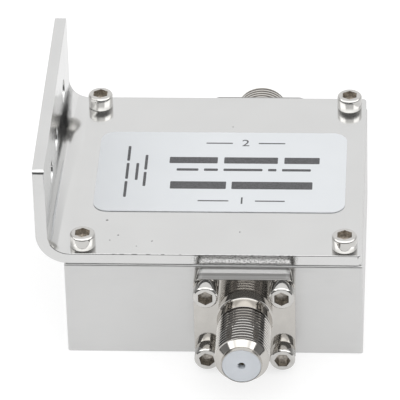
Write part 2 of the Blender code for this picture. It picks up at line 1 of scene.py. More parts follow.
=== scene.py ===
# Coax lightning arrestor: the looks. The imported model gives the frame, and the pieces here stand on it.
from math import cos, pi, radians

import bmesh
import bpy
from mathutils import Matrix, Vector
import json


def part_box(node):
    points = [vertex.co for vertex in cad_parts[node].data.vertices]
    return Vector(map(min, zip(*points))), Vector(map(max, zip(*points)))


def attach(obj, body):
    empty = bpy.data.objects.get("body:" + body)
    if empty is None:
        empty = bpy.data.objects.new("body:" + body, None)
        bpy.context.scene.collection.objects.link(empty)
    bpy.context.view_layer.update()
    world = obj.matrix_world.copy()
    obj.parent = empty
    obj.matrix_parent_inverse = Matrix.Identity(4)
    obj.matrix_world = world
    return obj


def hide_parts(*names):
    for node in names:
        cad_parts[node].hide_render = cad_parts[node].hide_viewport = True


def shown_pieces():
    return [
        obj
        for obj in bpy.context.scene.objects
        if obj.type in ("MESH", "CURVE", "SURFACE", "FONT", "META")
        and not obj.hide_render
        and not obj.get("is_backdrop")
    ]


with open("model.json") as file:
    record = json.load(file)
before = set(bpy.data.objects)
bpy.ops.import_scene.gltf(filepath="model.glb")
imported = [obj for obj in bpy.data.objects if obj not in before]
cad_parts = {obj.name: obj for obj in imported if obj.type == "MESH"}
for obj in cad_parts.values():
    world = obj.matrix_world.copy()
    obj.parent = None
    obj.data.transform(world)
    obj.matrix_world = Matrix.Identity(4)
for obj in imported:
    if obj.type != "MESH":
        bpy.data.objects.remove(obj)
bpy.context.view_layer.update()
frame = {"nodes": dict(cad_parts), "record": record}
nodes = frame["nodes"]
print("frame loaded:", len(nodes), "nodes")

mm = 0.001  # shapes are drawn in millimetres and scaled when they are finished
weld = 0.0005  # vertices nearer to each other than this are joined
tolerance = 0.001  # places nearer to each other than this count as one
past = 1.0  # how far a cutter reaches beyond what it cuts
sharpAngle = radians(50)  # edges sharper than this are rounded
noiseRange = (0.3, 0.7)  # most of a noise lies between these


# Camera, at the photograph's angle
camera = {
    "lens": 361.44,
    "distance": 855.43 * mm,
    "target": (-3.699 * mm, -9.961 * mm, 25.1 * mm),
    "turn": radians(3.8206),
    "elevation": radians(34.2541),
    "roll": radians(-1.6753),
    "sensor": 36.0,
    "clip": (0.05, 50.0),
}


def makeCamera():
    data = bpy.data.cameras.new("photoCamera")
    data.lens = camera["lens"]
    data.sensor_width = camera["sensor"]
    data.clip_start, data.clip_end = camera["clip"]
    view = bpy.data.objects.new("photoCamera", data)
    bpy.context.scene.collection.objects.link(view)
    turn = Matrix.Rotation(camera["turn"], 4, "Z")
    tilt = Matrix.Rotation(pi / 2 - camera["elevation"], 4, "X")
    roll = Matrix.Rotation(camera["roll"], 4, "Z")
    back = Matrix.Translation((0, 0, camera["distance"]))
    view.matrix_world = Matrix.Translation(camera["target"]) @ turn @ tilt @ roll @ back
    bpy.context.scene.camera = view


makeCamera()


# Node helpers
def addNode(tree, kind, inputs=(), **settings):
    node = tree.nodes.new(kind)
    for name, value in settings.items():
        setattr(node, name, value)
    for name, value in dict(inputs).items():
        if isinstance(value, bpy.types.NodeSocket):
            tree.links.new(value, node.inputs[name])
        else:
            node.inputs[name].default_value = value
    return node


def calculate(tree, operation, first, second=0.0):
    return addNode(tree, "ShaderNodeMath", {0: first, 1: second}, operation=operation).outputs[0]


def remap(tree, value, low, high, toLow=0.0, toHigh=1.0):
    inputs = {"Value": value, "From Min": low, "From Max": high, "To Min": toLow, "To Max": toHigh}
    return addNode(tree, "ShaderNodeMapRange", inputs, interpolation_type="SMOOTHSTEP").outputs[0]


def greyRamp(tree, value, stops):
    ramp = addNode(tree, "ShaderNodeValToRGB", {0: value})
    elements = ramp.color_ramp.elements
    elements[0].position, elements[1].position = stops[0][0], stops[-1][0]
    for place, _ in stops[1:-1]:
        elements.new(place)
    for element, (_, grey) in zip(elements, stops):
        element.color = (grey, grey, grey, 1.0)
    return ramp.outputs[0]


def mixValues(tree, factor, first, second):
    return addNode(tree, "ShaderNodeMix", {0: factor, 2: first, 3: second}, data_type="FLOAT").outputs[0]


def mixColours(tree, factor, first, second, blend="MIX"):
    inputs = {0: factor, 6: first, 7: second}
    return addNode(tree, "ShaderNodeMix", inputs, data_type="RGBA", blend_type=blend).outputs[2]


# Studio: grey by direction, as the metal reflects it. Places run from 0 at the camera's side to 1 behind.
studio = {
    "peak": 2.4,  # every grey below is multiplied by it
    "low": ((0.0, 0.065), (0.3, 0.075), (0.45, 0.13), (0.6, 0.22), (0.8, 0.36), (1.0, 0.39)),
    "middle": ((0.0, 0.43), (0.2, 0.45), (0.25, 0.95), (0.52, 0.95), (0.62, 0.4), (1.0, 0.385)),
    "high": ((0.0, 0.84), (0.3, 0.75), (0.5, 0.55), (0.7, 0.4), (1.0, 0.385)),
    "lowEnd": (0.46, 0.50),  # heights are sines of the elevation
    "highStart": (0.66, 0.76),
    "zenith": (0.88, 0.97),
    "zenithGrey": 0.6,
    "horizon": (-0.02, 0.0),
    "floorGrey": 0.42,
}


def makeStudio():
    world = bpy.data.worlds.new("studio")
    bpy.context.scene.world = world
    world.use_nodes = True
    tree = world.node_tree
    tree.nodes.clear()
    direction = addNode(tree, "ShaderNodeTexCoord").outputs["Generated"]
    axes = addNode(tree, "ShaderNodeSeparateXYZ", {0: direction})
    forwards = calculate(tree, "MULTIPLY", axes.outputs["Y"], -1.0)
    around = calculate(tree, "ABSOLUTE", calculate(tree, "ARCTAN2", axes.outputs["X"], forwards))
    place = calculate(tree, "DIVIDE", around, pi)
    height = axes.outputs["Z"]
    grey = greyRamp(tree, place, studio["low"])
    for heights, above in (
        ("lowEnd", greyRamp(tree, place, studio["middle"])),
        ("highStart", greyRamp(tree, place, studio["high"])),
        ("zenith", studio["zenithGrey"]),
    ):
        grey = mixValues(tree, remap(tree, height, *studio[heights]), grey, above)
    below = remap(tree, height, *studio["horizon"], 1.0, 0.0)
    grey = mixValues(tree, below, grey, studio["floorGrey"])
    light = calculate(tree, "MULTIPLY", grey, studio["peak"])
    seen = addNode(tree, "ShaderNodeLightPath").outputs["Is Camera Ray"]
    strength = mixValues(tree, seen, light, 1.0)
    white = (1.0, 1.0, 1.0, 1.0)
    background = addNode(tree, "ShaderNodeBackground", {"Color": white, "Strength": strength})
    output = addNode(tree, "ShaderNodeOutputWorld")
    tree.links.new(background.outputs[0], output.inputs["Surface"])


makeStudio()


# Floor: white to the eye and grey in the metal, dark there towards the camera. It takes a soft shadow.
floor = {
    "half": 3.0,
    "drop": 0.02 * mm,
    "glow": 0.70,
    "glowInMetal": 0.55,
    "diffuse": 0.34,
    "plain": 0.8,
    "edge": (-130.0 * mm, -99.0 * mm),  # the metal sees little of the paper nearer the camera than this
    "beyond": 0.08,  # what is left of its light there
}


def makeFloor():
    shape = bmesh.new()
    bmesh.ops.create_grid(shape, x_segments=1, y_segments=1, size=floor["half"])
    bmesh.ops.translate(shape, verts=shape.verts[:], vec=(0, 0, -floor["drop"]))
    mesh = bpy.data.meshes.new("studioFloor")
    shape.to_mesh(mesh)
    shape.free()
    ground = bpy.data.objects.new("studioFloor", mesh)
    bpy.context.scene.collection.objects.link(ground)
    paper = bpy.data.materials.new("whitePaper")
    paper.use_nodes = True
    tree = paper.node_tree
    tree.nodes.clear()
    path = addNode(tree, "ShaderNodeLightPath").outputs
    shown = calculate(tree, "MAXIMUM", path["Is Camera Ray"], path["Is Glossy Ray"])
    shown = calculate(tree, "MAXIMUM", shown, path["Is Transmission Ray"])
    along = addNode(tree, "ShaderNodeTexCoord").outputs["Object"]
    along = addNode(tree, "ShaderNodeSeparateXYZ", {0: along}).outputs["Y"]
    fade = remap(tree, along, *floor["edge"], floor["beyond"], 1.0)
    fade = mixValues(tree, path["Is Camera Ray"], fade, 1.0)
    strength = mixValues(tree, path["Is Camera Ray"], floor["glowInMetal"], floor["glow"])
    strength = calculate(tree, "MULTIPLY", strength, fade)
    glow = addNode(tree, "ShaderNodeEmission", {"Strength": strength}).outputs[0]
    tint = calculate(tree, "MULTIPLY", fade, floor["diffuse"])
    lit = addNode(tree, "ShaderNodeBsdfDiffuse", {"Color": tint}).outputs[0]
    white = addNode(tree, "ShaderNodeAddShader", {0: glow, 1: lit}).outputs[0]
    tint = (floor["plain"],) * 3 + (1.0,)
    plain = addNode(tree, "ShaderNodeBsdfDiffuse", {"Color": tint}).outputs[0]
    surface = addNode(tree, "ShaderNodeMixShader", {0: shown, 1: plain, 2: white}).outputs[0]
    output = addNode(tree, "ShaderNodeOutputMaterial")
    tree.links.new(surface, output.inputs["Surface"])
    mesh.materials.append(paper)
    ground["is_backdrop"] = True


makeFloor()
bpy.context.scene.view_settings.view_transform = "Standard"
print("camera, studio and floor made")


# Finishes
def newFinish(name, colour, roughness, metallic=0.0):
    finish = bpy.data.materials.new(name)
    finish.use_nodes = True
    shader = finish.node_tree.nodes["Principled BSDF"]
    shader.inputs["Base Color"].default_value = (*colour, 1.0)
    shader.inputs["Roughness"].default_value = roughness
    shader.inputs["Metallic"].default_value = metallic
    return finish, finish.node_tree, shader


def objectPlace(tree, stretch=(1, 1, 1), start=(0, 0, 0)):
    place = addNode(tree, "ShaderNodeTexCoord").outputs["Object"]
    inputs = {"Vector": place, "Scale": stretch, "Location": start}
    return addNode(tree, "ShaderNodeMapping", inputs).outputs[0]


def noise(tree, vector, scale, detail=3.0, roughness=0.5):
    inputs = {"Vector": vector, "Scale": scale, "Detail": detail, "Roughness": roughness}
    return addNode(tree, "ShaderNodeTexNoise", inputs).outputs[0]


def setBump(tree, shader, height, depth, strength=1.0):
    inputs = {"Height": height, "Distance": depth, "Strength": strength}
    tree.links.new(addNode(tree, "ShaderNodeBump", inputs).outputs[0], shader.inputs["Normal"])


def tinted(tree, shader, colour, pattern, spread):
    low = tuple(part * (1 - spread) for part in colour)
    high = tuple(min(1.0, part * (1 + spread)) for part in colour)
    shade = mixColours(tree, remap(tree, pattern, *noiseRange), (*low, 1.0), (*high, 1.0))
    tree.links.new(shade, shader.inputs["Base Color"])
    return shade


bracketTop = 25.1  # height of the lid's face, in millimetres
rolledSheet = {
    "colour": (0.74, 0.74, 0.735),
    "roughness": (0.10, 0.15),
    "grainDepth": 0.0009 * mm,
    "edgeDepth": 0.02 * mm,
    "edgeFace": (-30.25 * mm, -30.1 * mm),  # where the front edge is as it was sheared
    "nicksAndReflectionBand": (-30.2 * mm, -30.1 * mm),  # and the band of it that carries the nicks and the painted reflection
    "edgeCorner": (-0.2 * mm, -0.15 * mm),  # its upper corner, from the lid's face
    "paintedPortReflection": (-5.0 * mm, 18.0 * mm),  # the part of the front edge over the port, where dark noise is painted as the port's reflection
    "dashed": (-24.0 * mm, -5.5 * mm),  # and where the corner above it has nicks
    "nicksAndReflectionFade": 2.0 * mm,
    "nicksAndReflectionRange": (0.5, 0.57),  # of the noise that makes the painted reflection and the nicks
    "nicksAndReflectionStrength": 0.75,
    "speckRagged": 0.3 * mm,
    "speckBlur": (0.05 * mm, 0.2 * mm),
    "speckAndReflectionGrey": 0.2,
    # small dark marks on the lid: place along X and Y, and radius
    "specks": (
        (-23.0, -17.8, 0.28),
        (-20.3, -23.3, 0.2),
        (-21.9, -25.2, 0.16),
        (-13.0, -25.4, 0.2),
        (5.3, -21.8, 0.2),
        (2.1, 18.5, 0.16),
        (-16.2, -27.3, 0.14),
    ),
}


def rolledAluminium():
    finish, tree, shader = newFinish("rolledAluminium", rolledSheet["colour"], 0.12, 1.0)
    cloudy = noise(tree, objectPlace(tree), 90.0)
    shade = tinted(tree, shader, rolledSheet["colour"], cloudy, 0.012)
    marks = 0.0
    ragged = noise(tree, objectPlace(tree), 4000.0)
    ragged = calculate(tree, "MULTIPLY", ragged, rolledSheet["speckRagged"])
    near, far = rolledSheet["speckBlur"]
    for x, y, radius in rolledSheet["specks"]:
        start = (-x * mm, -y * mm, -bracketTop * mm)
        inputs = {0: objectPlace(tree, start=start)}
        away = addNode(tree, "ShaderNodeVectorMath", inputs, operation="LENGTH").outputs["Value"]
        away = calculate(tree, "ADD", away, ragged)
        spot = remap(tree, away, radius * mm + near, radius * mm + far, 1.0, 0.0)
        marks = calculate(tree, "MAXIMUM", marks, spot)
    axes = addNode(tree, "ShaderNodeSeparateXYZ", {0: objectPlace(tree)}).outputs
    cutEdge = remap(tree, axes["Y"], *rolledSheet["edgeFace"], 1.0, 0.0)
    corner = remap(tree, axes["Z"], *(bracketTop * mm + down for down in rolledSheet["edgeCorner"]))
    reflectionNoise = noise(tree, objectPlace(tree, (0.7, 1, 1)), 3200.0, 3.0, 0.6)
    nicks = noise(tree, objectPlace(tree, (1, 0, 0)), 700.0, 2.0)
    fade = rolledSheet["nicksAndReflectionFade"]
    # over the port, the dark noise on the front edge is a painted reflection of the port; along the corner,
    # the nicks are wear
    for stretch, pattern, where in (("paintedPortReflection", reflectionNoise, cutEdge), ("dashed", nicks, corner)):
        left, right = rolledSheet[stretch]
        nicksAndReflection = calculate(tree, "MULTIPLY", remap(tree, pattern, *rolledSheet["nicksAndReflectionRange"]), where)
        nicksAndReflection = calculate(tree, "MULTIPLY", nicksAndReflection, remap(tree, axes["Y"], *rolledSheet["nicksAndReflectionBand"], 1.0, 0.0))
        nicksAndReflection = calculate(tree, "MULTIPLY", nicksAndReflection, remap(tree, axes["X"], left, left + fade))
        nicksAndReflection = calculate(tree, "MULTIPLY", nicksAndReflection, remap(tree, axes["X"], right - fade, right, 1.0, 0.0))
        nicksAndReflection = calculate(tree, "MULTIPLY", nicksAndReflection, rolledSheet["nicksAndReflectionStrength"])
        marks = calculate(tree, "MAXIMUM", marks, nicksAndReflection)
    grey = (rolledSheet["speckAndReflectionGrey"],) * 3 + (1.0,)
    shade = mixColours(tree, marks, shade, grey)
    tree.links.new(shade, shader.inputs["Base Color"])
    gloss = remap(tree, noise(tree, objectPlace(tree), 260.0), *noiseRange, *rolledSheet["roughness"])
    tree.links.new(gloss, shader.inputs["Roughness"])
    sheared = noise(tree, objectPlace(tree, (1, 1, 0.7)), 2600.0, 4.0, 0.6)
    rolled = noise(tree, objectPlace(tree, (6, 0.5, 1)), 700.0)
    fine = calculate(tree, "MULTIPLY", rolled, rolledSheet["grainDepth"] / rolledSheet["edgeDepth"])
    height = calculate(tree, "ADD", calculate(tree, "MULTIPLY", sheared, cutEdge), fine)
    setBump(tree, shader, height, rolledSheet["edgeDepth"])
    return finish


milledBlock = {
    "colour": (0.72, 0.72, 0.715),
    "roughness": (0.30, 0.38),
    "grainDepth": 0.004 * mm,
}


def milledAluminium():
    finish, tree, shader = newFinish("milledAluminium", milledBlock["colour"], 0.34, 1.0)
    tinted(tree, shader, milledBlock["colour"], noise(tree, objectPlace(tree), 60.0), 0.015)
    streaks = noise(tree, objectPlace(tree, (0.25, 0.25, 4)), 900.0)
    gloss = remap(tree, streaks, *noiseRange, *milledBlock["roughness"])
    tree.links.new(gloss, shader.inputs["Roughness"])
    setBump(tree, shader, streaks, milledBlock["grainDepth"])
    return finish


platedPort = {
    "colour": (0.60, 0.58, 0.55),
    "roughness": (0.06, 0.11),
    "ringDepth": 0.0012 * mm,
    "axisX": 6.6 * mm,
    "axisZ": 11.65 * mm,
    "rearShift": 0.7 * mm,
    "threaded": (37.95 * mm, 48.7 * mm),  # where the front thread's colours start and stop along Y
    "rearShorter": 1.9 * mm,  # the rear thread's colours stop this much sooner
    "valleys": (5.36 * mm, 5.64 * mm),  # radii between which the painted shade in the thread's valleys ends
    "crests": (5.59 * mm, 5.66 * mm),  # and between which its crests carry a painted highlight
    "valleyShadeColour": (0.10, 0.09, 0.09),
    "crestHighlightColour": (0.88, 0.86, 0.83),
    # the plates' top faces carry a painted highlight and painted shade in bands, from the wall outwards,
    # over the bump of their milled passes
    "plateTop": (10.35 * mm, 10.55 * mm),  # above the axis
    "plateBack": 30.5 * mm,
    "plateFront": 35.0 * mm,
    "milledRoughness": 0.36,
    "passSway": 1.0 * mm,
    "passDepth": 0.005 * mm,
    "paintedBandShare": 0.9,
    "paintedBandTint": 0.12,
    # greys of the painted bands: the bright band is a painted highlight, and the dark ones are painted
    # shade
    "passesAndPaintedBands": (
        (0.0, 0.22), (0.22, 0.26), (0.28, 1.0), (0.5, 1.0),
        (0.56, 0.4), (0.72, 0.26), (0.8, 0.42), (1.0, 0.22),
    ),
}


def nickelPlate():
    finish, tree, shader = newFinish("nickelPlate", platedPort["colour"], 0.08, 1.0)
    shade = tinted(tree, shader, platedPort["colour"], noise(tree, objectPlace(tree), 300.0), 0.03)
    start = (-platedPort["axisX"], 0, -platedPort["axisZ"])
    axes = addNode(tree, "ShaderNodeSeparateXYZ", {0: objectPlace(tree, start=start)}).outputs
    rear = calculate(tree, "GREATER_THAN", axes["Y"], 0.0)
    away = calculate(tree, "ABSOLUTE", axes["Y"])
    shift = calculate(tree, "MULTIPLY", rear, platedPort["rearShift"])
    across = calculate(tree, "SUBTRACT", axes["X"], shift)
    across = calculate(tree, "MULTIPLY", across, across)
    up = calculate(tree, "MULTIPLY", axes["Z"], axes["Z"])
    radius = calculate(tree, "SQRT", calculate(tree, "ADD", across, up))

    # turned all over, with painted shade in the thread's valleys and a painted highlight on its crests
    rings = addNode(tree, "ShaderNodeCombineXYZ", {"X": radius, "Y": axes["Y"]}).outputs[0]
    turned = noise(tree, rings, 2600.0, 3.0)
    gloss = remap(tree, turned, *noiseRange, *platedPort["roughness"])
    first, last = platedPort["threaded"]
    last = calculate(tree, "SUBTRACT", last, calculate(tree, "MULTIPLY", rear, platedPort["rearShorter"]))
    threaded = calculate(tree, "GREATER_THAN", away, first)
    threaded = calculate(tree, "MULTIPLY", threaded, calculate(tree, "LESS_THAN", away, last))
    for place, colour, inside in (("crests", "crestHighlightColour", 0.0), ("valleys", "valleyShadeColour", 1.0)):
        where = remap(tree, radius, *platedPort[place], inside, 1.0 - inside)
        where = calculate(tree, "MULTIPLY", where, threaded)
        shade = mixColours(tree, where, shade, (*platedPort[colour], 1.0))

    # painted highlight and painted shade in bands on the plate's top, and the bump of the milled passes
    top = remap(tree, axes["Z"], *platedPort["plateTop"])
    gloss = mixValues(tree, top, gloss, platedPort["milledRoughness"])
    tree.links.new(gloss, shader.inputs["Roughness"])
    passesAndPaintedBands = noise(tree, objectPlace(tree, (0.02, 1, 0.02)), 640.0, 2.0, 0.6)
    back, front = platedPort["plateBack"], platedPort["plateFront"]
    sway = platedPort["passSway"]
    outwards = calculate(tree, "ADD", away, calculate(tree, "MULTIPLY", passesAndPaintedBands, sway))
    outwards = calculate(tree, "SUBTRACT", outwards, back + sway / 2)
    outwards = calculate(tree, "DIVIDE", outwards, front - back)
    paintedBands = greyRamp(tree, outwards, platedPort["passesAndPaintedBands"])
    paintedBands = mixColours(tree, platedPort["paintedBandTint"], paintedBands, (*platedPort["colour"], 1.0))
    share = calculate(tree, "MULTIPLY", top, platedPort["paintedBandShare"])
    shade = mixColours(tree, share, shade, paintedBands)
    tree.links.new(shade, shader.inputs["Base Color"])
    passesAndPaintedBands = calculate(tree, "MULTIPLY", calculate(tree, "MULTIPLY", passesAndPaintedBands, top), platedPort["passDepth"])
    rough = calculate(tree, "MULTIPLY", turned, platedPort["ringDepth"])
    setBump(tree, shader, calculate(tree, "ADD", passesAndPaintedBands, rough), 1.0)
    return finish


polishedSteel = {
    "colour": (0.64, 0.63, 0.61),
    "roughness": (0.06, 0.13),
    "scuffDepth": 0.001 * mm,
}


def stainlessScrew():
    finish, tree, shader = newFinish("stainlessScrew", polishedSteel["colour"], 0.1, 1.0)
    tinted(tree, shader, polishedSteel["colour"], noise(tree, objectPlace(tree), 500.0), 0.04)
    scuffs = noise(tree, objectPlace(tree, (1, 1, 3)), 1500.0)
    gloss = remap(tree, scuffs, *noiseRange, *polishedSteel["roughness"])
    tree.links.new(gloss, shader.inputs["Roughness"])
    setBump(tree, shader, scuffs, polishedSteel["scuffDepth"])
    return finish


# finishes of one grain, which tints them and may stand proud
grained = {
    "socketSteel": {
        "colour": (0.50, 0.47, 0.43), "roughness": 0.3, "metallic": 1.0, "grain": 2200.0, "spread": 0.3,
        "depth": 0.02 * mm,
    },
    # the contact's gold is darkened far down: this is painted shade of the insulator's hole, through which
    # the contact is seen
    "shadedGiltContact": {
        "colour": (0.14, 0.11, 0.06), "roughness": 0.4, "metallic": 1.0, "grain": 900.0, "spread": 0.08,
    },
    "printInk": {
        "colour": (0.075, 0.075, 0.08), "roughness": 0.45, "metallic": 0.0, "grain": 2500.0, "spread": 0.25,
    },
    "enamelledWire": {
        "colour": (0.50, 0.18, 0.06), "roughness": 0.28, "metallic": 1.0, "grain": 800.0, "spread": 0.15,
    },
    "brownCeramic": {
        "colour": (0.40, 0.27, 0.16), "roughness": 0.5, "metallic": 0.0, "grain": 2500.0, "spread": 0.15,
        "depth": 0.01 * mm,
    },
    "blackMoulding": {
        "colour": (0.03, 0.03, 0.032), "roughness": 0.5, "metallic": 0.0, "grain": 3000.0, "spread": 0.3,
        "depth": 0.01 * mm,
    },
}


def grainedFinish(name):
    look = grained[name]
    finish, tree, shader = newFinish(name, look["colour"], look["roughness"], look["metallic"])
    grain = noise(tree, objectPlace(tree), look["grain"])
    tinted(tree, shader, look["colour"], grain, look["spread"])
    if "depth" in look:
        setBump(tree, shader, grain, look["depth"])
    return finish


palePlastic = {
    "colour": (0.66, 0.69, 0.73),
    "roughness": 0.42,
    "grainDepth": 0.002 * mm,
}


def whiteInsulator():
    colour = palePlastic["colour"]
    finish, tree, shader = newFinish("whiteInsulator", colour, palePlastic["roughness"])
    tinted(tree, shader, colour, noise(tree, objectPlace(tree), 400.0), 0.02)
    setBump(tree, shader, noise(tree, objectPlace(tree), 3000.0), palePlastic["grainDepth"])
    return finish


labelFilm = {
    "colour": (0.65, 0.67, 0.69),
    "roughness": (0.36, 0.46),
    "grainDepth": 0.001 * mm,
}


def silverLabel():
    colour = labelFilm["colour"]
    finish, tree, shader = newFinish("silverLabel", colour, 0.4)
    tinted(tree, shader, colour, noise(tree, objectPlace(tree), 120.0), 0.008)
    fine = noise(tree, objectPlace(tree), 4000.0, 2.0)
    gloss = remap(tree, fine, *noiseRange, *labelFilm["roughness"])
    tree.links.new(gloss, shader.inputs["Roughness"])
    setBump(tree, shader, fine, labelFilm["grainDepth"])
    return finish


boardLacquer = {
    "colour": (0.03, 0.16, 0.07),
    "overCopper": (0.06, 0.26, 0.09),
    "roughness": 0.3,
    "tracks": ((0.5, 0.53), (0.6, 0.63)),  # where a noise goes into a track and out of it
    "weaveScale": 2400.0,
    "weaveDepth": 0.003 * mm,
}


def greenBoard():
    finish, tree, shader = newFinish("greenBoard", boardLacquer["colour"], boardLacquer["roughness"])
    inputs = {"Vector": objectPlace(tree), "Scale": boardLacquer["weaveScale"]}
    weave = addNode(tree, "ShaderNodeTexChecker", inputs).outputs[1]
    tracks = noise(tree, objectPlace(tree, (1, 0.3, 1)), 220.0, 0.0)
    into, out = boardLacquer["tracks"]
    copper = calculate(tree, "MULTIPLY", remap(tree, tracks, *into), remap(tree, tracks, *out, 1.0, 0.0))
    shade = mixColours(tree, copper, (*boardLacquer["colour"], 1.0), (*boardLacquer["overCopper"], 1.0))
    tree.links.new(shade, shader.inputs["Base Color"])
    setBump(tree, shader, weave, boardLacquer["weaveDepth"])
    return finish


cappedTube = {
    "colour": (0.80, 0.79, 0.76),
    "metal": (0.62, 0.6, 0.56),
    "roughness": (0.45, 0.25),  # of the ceramic and of the caps
    "cap": 1.1 * mm,
    "blur": 0.05 * mm,
}


def whiteCeramic():
    colour, metal = cappedTube["colour"], cappedTube["metal"]
    finish, tree, shader = newFinish("whiteCeramic", colour, 0.4)
    low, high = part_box("gas_tube")
    body, blur = (high.x - low.x) / 2 - cappedTube["cap"], cappedTube["blur"]
    start = (-(low.x + high.x) / 2, 0, 0)
    along = addNode(tree, "ShaderNodeSeparateXYZ", {0: objectPlace(tree, start=start)}).outputs["X"]
    cap = remap(tree, calculate(tree, "ABSOLUTE", along), body - blur, body + blur)
    pale = tinted(tree, shader, colour, noise(tree, objectPlace(tree), 1500.0), 0.04)
    tree.links.new(mixColours(tree, cap, pale, (*metal, 1.0)), shader.inputs["Base Color"])
    tree.links.new(cap, shader.inputs["Metallic"])
    tree.links.new(mixValues(tree, cap, *cappedTube["roughness"]), shader.inputs["Roughness"])
    return finish


finishes = {
    "rolled_aluminium": rolledAluminium(),
    "milled_aluminium": milledAluminium(),
    "nickel_plate": nickelPlate(),
    "stainless_screw": stainlessScrew(),
    "white_insulator": whiteInsulator(),
    "gilt_contact": grainedFinish("shadedGiltContact"),
    "silver_label": silverLabel(),
    "green_board": greenBoard(),
    "white_ceramic": whiteCeramic(),
    "enamelled_wire": grainedFinish("enamelledWire"),
    "brown_ceramic": grainedFinish("brownCeramic"),
    "black_moulding": grainedFinish("blackMoulding"),
}
ink = grainedFinish("printInk")
socketDark = grainedFinish("socketSteel")

for subpart in frame["record"]["subparts"]:
    mesh = nodes[subpart["node"]].data
    mesh.materials.clear()
    mesh.materials.append(finishes[subpart["material_slot"]])
print("finishes made:", len(finishes))


# Shape helpers, in millimetres
def toObject(name, shape):
    mesh = bpy.data.meshes.new(name)
    shape.to_mesh(mesh)
    shape.free()
    thing = bpy.data.objects.new(name, mesh)
    bpy.context.scene.collection.objects.link(thing)
    return thing


def lathe(outline, steps, closed=False):
    # outline of (radius, height), turned round the Z axis
    shape = bmesh.new()
    dots = [shape.verts.new((radius, 0, height)) for radius, height in outline]
    pairs = list(zip(dots, dots[1:])) + ([(dots[-1], dots[0])] if closed else [])
    lines = [shape.edges.new(pair) for pair in pairs]
    bmesh.ops.spin(
        shape, geom=dots + lines, cent=(0, 0, 0), axis=(0, 0, 1), angle=2 * pi, steps=steps, use_merge=True
    )
    bmesh.ops.remove_doubles(shape, verts=shape.verts[:], dist=weld)
    bmesh.ops.recalc_face_normals(shape, faces=shape.faces[:])
    return shape


def roundEdges(shape, edges, offset, segments):
    bmesh.ops.bevel(
        shape, geom=edges, offset=offset, segments=segments, profile=0.5, affect="EDGES", material=-1
    )


def ringAt(shape, radius, height):
    # the edges of a turned shape that run round at this radius and height
    def near(vert):
        across = (vert.co.x**2 + vert.co.y**2) ** 0.5
        return abs(across - radius) < 10 * tolerance and abs(vert.co.z - height) < 2 * tolerance

    return [edge for edge in shape.edges if all(near(vert) for vert in edge.verts)]


def block(size, centre=(0, 0, 0)):
    shape = bmesh.new()
    place = Matrix.Translation(centre) @ Matrix.Diagonal((*size, 1.0))
    bmesh.ops.create_cube(shape, size=1.0, matrix=place)
    return shape


def rods(radius, length, places, steps=32, turn=Matrix()):
    shape = bmesh.new()
    for place in places:
        bmesh.ops.create_cone(
            shape, cap_ends=True, segments=steps, radius1=radius, radius2=radius, depth=length,
            matrix=Matrix.Translation(place) @ turn,
        )
    return shape


def reorder(parts, keys):
    order = sorted(range(len(keys)), key=keys.__getitem__)
    rank = {index: place for place, index in enumerate(order)}
    parts.index_update()
    parts.sort(key=lambda part: rank[part.index])
    parts.index_update()


def sortShape(shape):
    # a boolean hands its parts back in a changing order, so they are put in order of place
    reorder(shape.verts, [tuple(round(place, 4) for place in vert.co) for vert in shape.verts])
    for parts in (shape.edges, shape.faces):
        reorder(parts, [sorted(vert.index for vert in part.verts) for part in parts])


def combine(thing, shape, operation="DIFFERENCE", materials=()):
    cutter = toObject("cutter", shape)
    for material in materials:
        cutter.data.materials.append(material)
    step = thing.modifiers.new(operation.lower(), "BOOLEAN")
    step.operation = operation
    step.solver = "EXACT"
    step.material_mode = "INDEX"
    step.object = cutter
    bpy.context.view_layer.update()
    graph = bpy.context.evaluated_depsgraph_get()
    mesh = bpy.data.meshes.new_from_object(thing.evaluated_get(graph))
    thing.modifiers.clear()
    thing.data = mesh
    bpy.data.objects.remove(cutter, do_unlink=True)
    shape = bmesh.new()
    shape.from_mesh(mesh)
    bmesh.ops.remove_doubles(shape, verts=shape.verts[:], dist=2 * weld)
    sortShape(shape)
    shape.to_mesh(mesh)
    shape.free()


def finishPiece(thing, slotName, replaced, smooth=40.0):
    mesh = thing.data
    mesh.transform(Matrix.Scale(mm, 4))
    if not mesh.materials:
        mesh.materials.append(finishes[slotName])
    mesh.shade_smooth()
    mesh.set_sharp_from_angle(angle=radians(smooth))
    for face in mesh.polygons:  # a face square to an axis is flat, whatever rounds its edges
        face.use_smooth = max(abs(part) for part in face.normal) < 0.99999
    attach(thing, "root")
    if replaced:
        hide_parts(*replaced)


def copyPiece(source, name, move):
    mesh = source.data.copy()
    mesh.transform(move)
    thing = bpy.data.objects.new(name, mesh)
    bpy.context.scene.collection.objects.link(thing)
    return thing


# Lid and mounting flange, one folded sheet
bracket = {
    "sheet": 2.5,
    "under": 22.6,  # height of the lid's underside
    "rise": 23.3,
    "left": -37.0,
    "right": 31.1,
    "halfDepth": 30.3,
    "bendRadius": 4.4,
    "corner": 0.9,
    "edge": 0.18,
    "screwX": 27.45,
    "screwY": 26.9,
    "screwHole": 3.5,
    "mountingHole": 4.8,
    "mountingRise": 12.7,
    "mountingPlaces": (-14.8, -2.5, 16.8),
}


